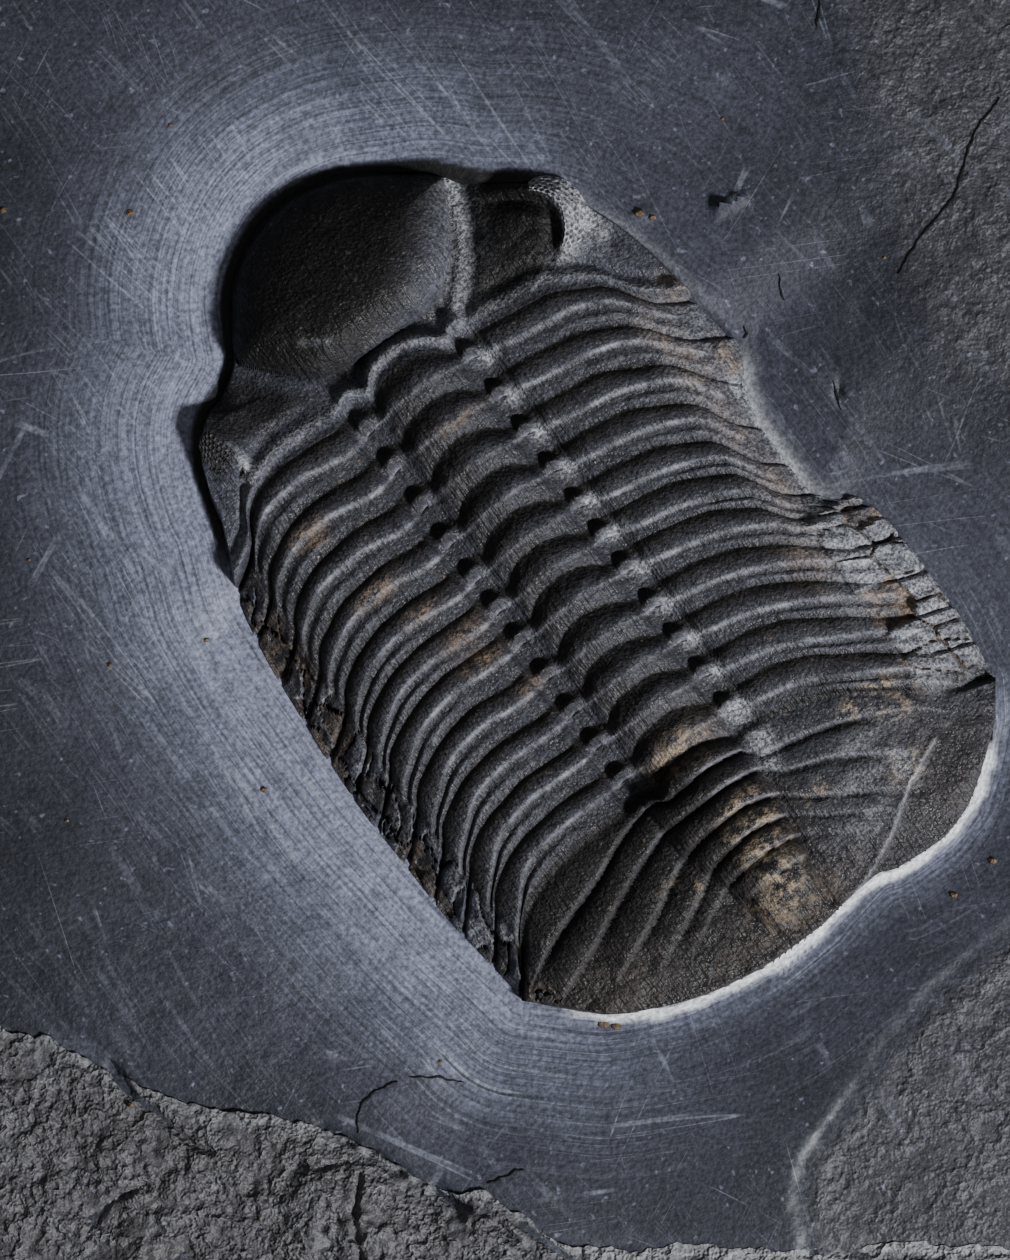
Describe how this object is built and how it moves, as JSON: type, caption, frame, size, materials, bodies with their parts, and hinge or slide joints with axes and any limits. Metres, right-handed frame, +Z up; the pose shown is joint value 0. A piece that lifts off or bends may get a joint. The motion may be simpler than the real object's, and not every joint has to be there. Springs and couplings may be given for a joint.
{
  "type": "fossil phacops trilobite",
  "caption": "Whole phacopid trilobite fossil standing in low relief in a scraped hollow of a broken slab of dark slate, for lying flat on show.",
  "frame": {"origin": "middle of the slab's bounding box, on the plane of its flat underside", "axes": "+Z up out of the slab's fossil face; +Y towards the top edge of the picture, along the slab's longer side; the animal's head points to -X +Y"},
  "size_m": [0.1018, 0.1246, 0.0172],
  "materials": {
    "slate": "scraped and scratched slate, matt to silky, with rough natural bedding at the corners",
    "fossil": "blackish brown mineral with pale rubbed crests and small gold pyrite patches, silky"
  },
  "bodies": {
    "root": {"slate_slab": "slate", "trilobite": "fossil"}
  },
  "joints": []
}
